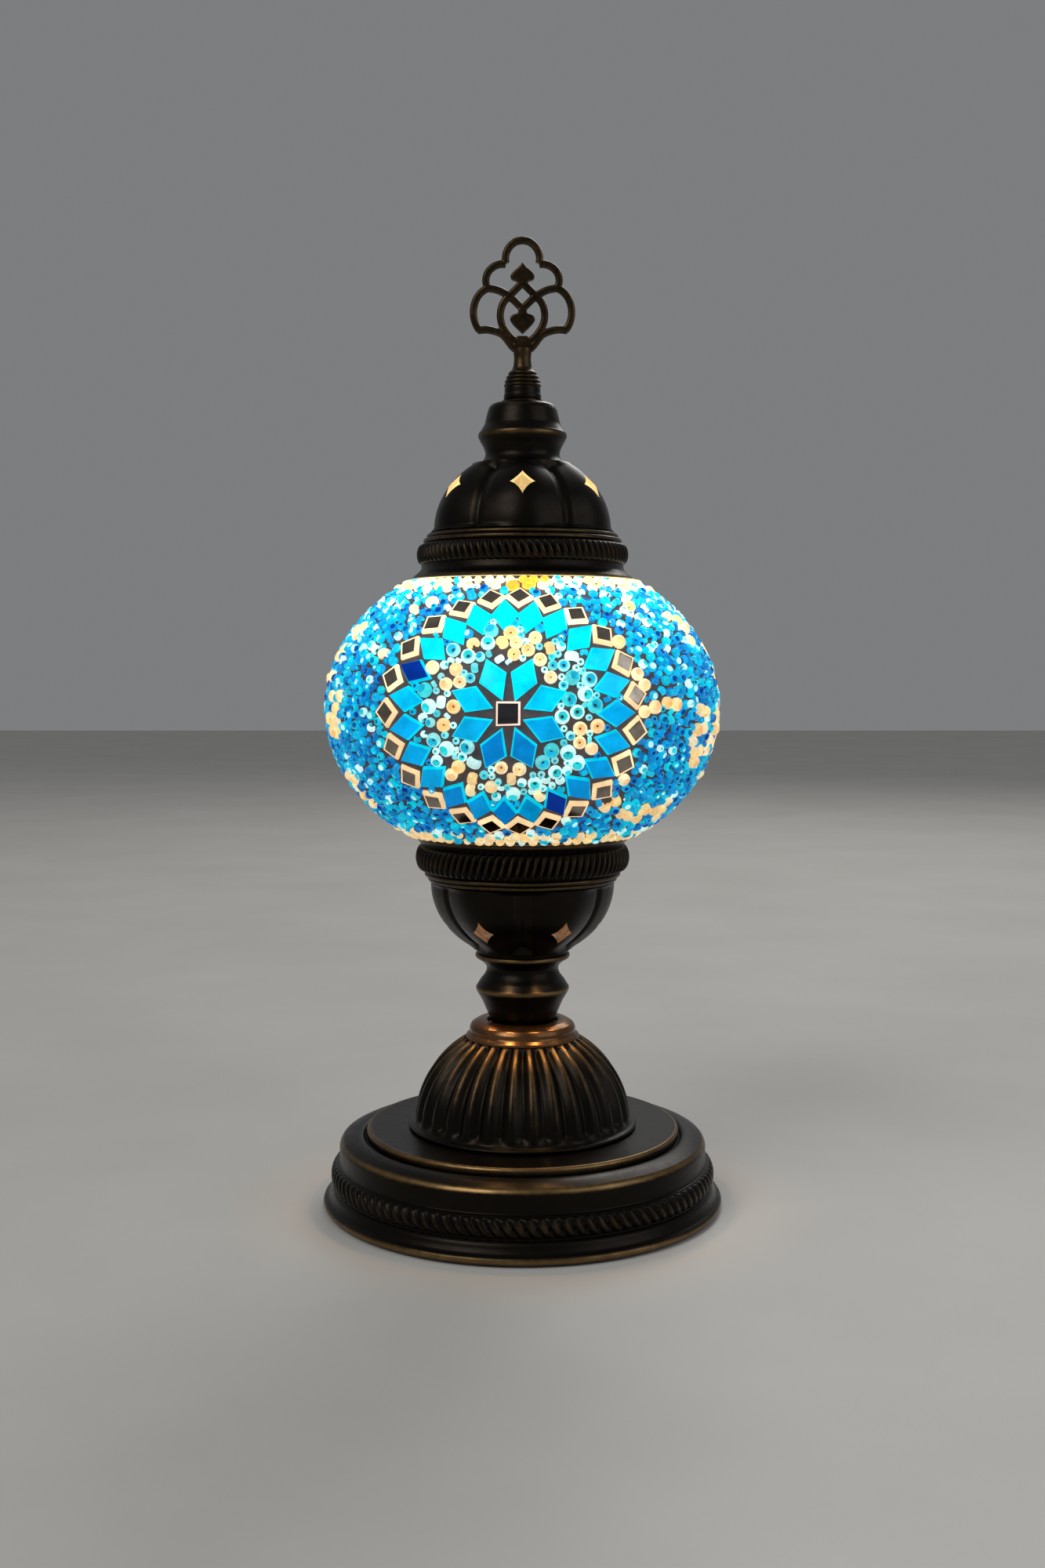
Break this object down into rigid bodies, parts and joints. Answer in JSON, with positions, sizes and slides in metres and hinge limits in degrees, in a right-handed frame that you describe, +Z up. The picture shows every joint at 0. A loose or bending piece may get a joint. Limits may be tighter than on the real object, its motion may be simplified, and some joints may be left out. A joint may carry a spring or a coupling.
{
  "type": "mosaic glass table lamp",
  "caption": "Free-standing table lamp: weighted metal base with fluted dome, glass mosaic globe held in a cup, lift-off cap and a screwed openwork finial.",
  "frame": {"origin": "centre of the base where it rests on the table", "axes": "+Z up along the lamp's axis to the finial; the front is -Y"},
  "size_m": [0.1338, 0.1338, 0.319],
  "materials": {
    "felt": "black wool felt",
    "antique_brass": "dark patinated brass with rubbed edges",
    "copper_glow": "coppery rubbed brass",
    "iron": "raw cast iron",
    "zinc_steel": "zinc plated steel",
    "rubber_black": "black rubber",
    "holder_black": "black phenolic plastic",
    "ceramic": "cream steatite",
    "contact_brass": "bright brass",
    "clear_glass": "clear blown glass",
    "grout": "dark grey-purple grout",
    "mirror_dark": "dark mirrored glass",
    "turquoise_glass": "turquoise glass",
    "blue_glass": "blue glass",
    "mirror_clear": "clear mirrored glass",
    "nickel": "nickel plated brass",
    "bulb_black": "black glass insulator",
    "bulb_glass": "clear bulb glass",
    "filament": "glowing LED filament"
  },
  "bodies": {
    "stand": {"felt_pad": "felt", "base_shell": "antique_brass", "base_weight": "iron", "base_washer": "zinc_steel", "base_nut": "zinc_steel", "cord_inlet": "rubber_black", "threaded_pipe": "zinc_steel", "fluted_dome": "antique_brass", "collar_ring": "copper_glow", "lower_neck": "antique_brass", "lower_cup": "antique_brass", "cup_washer": "zinc_steel", "harp_bracket": "zinc_steel", "harp_nut": "zinc_steel", "holder_cap": "holder_black", "holder_insulator": "ceramic", "holder_shell": "holder_black", "holder_sleeve": "contact_brass", "holder_contact": "contact_brass", "holder_screws": "zinc_steel", "cap_stud": "zinc_steel", "stud_nut": "zinc_steel", "lower_gasket": "rubber_black"},
    "globe": {"glass_globe": "clear_glass", "grout_layer": "grout", "rosette_centres": "mirror_dark", "rosette_petals": "turquoise_glass", "rosette_diamonds": "blue_glass", "mirror_tiles": "mirror_clear", "upper_gasket": "rubber_black"},
    "cap": {"upper_cap": "antique_brass", "upper_neck": "antique_brass"},
    "finial_ring": {"finial_washer": "copper_glow"},
    "finial": {"finial_knob": "antique_brass", "finial_crest": "antique_brass"},
    "bulb_end": {"bulb_contact": "nickel"},
    "bulb": {"bulb_insulator": "bulb_black", "bulb_screw_cap": "nickel", "bulb_glass": "bulb_glass", "bulb_stem": "filament"}
  },
  "joints": [
    {"name": "globe_lift", "type": "slide", "parent": "stand", "child": "globe", "axis": [0, 0, 1], "range_m": [0, 0.155]},
    {"name": "cap_lift", "type": "slide", "parent": "globe", "child": "cap", "axis": [0, 0, 1], "range_m": [0, 0.07]},
    {"name": "finial_rise", "type": "slide", "parent": "cap", "child": "finial_ring", "axis": [0, 0, 1], "range_m": [0, 0.0041]},
    {"name": "finial_turn", "type": "hinge", "parent": "finial_ring", "child": "finial", "pos_m": [0, 0, 0.27], "axis": [0, 0, 1], "range_deg": [0, 1440]},
    {"name": "bulb_rise", "type": "slide", "parent": "stand", "child": "bulb_end", "axis": [0, 0, 1], "range_m": [0, 0.0113]},
    {"name": "bulb_turn", "type": "hinge", "parent": "bulb_end", "child": "bulb", "pos_m": [0, 0, 0.14], "axis": [0, 0, 1], "range_deg": [0, 1440]}
  ],
  "couplings": [
    {"joint": "finial_rise", "follows": "finial_turn", "m_per_rad": 0.00015915},
    {"joint": "bulb_rise", "follows": "bulb_turn", "m_per_rad": 0.00044882}
  ]
}
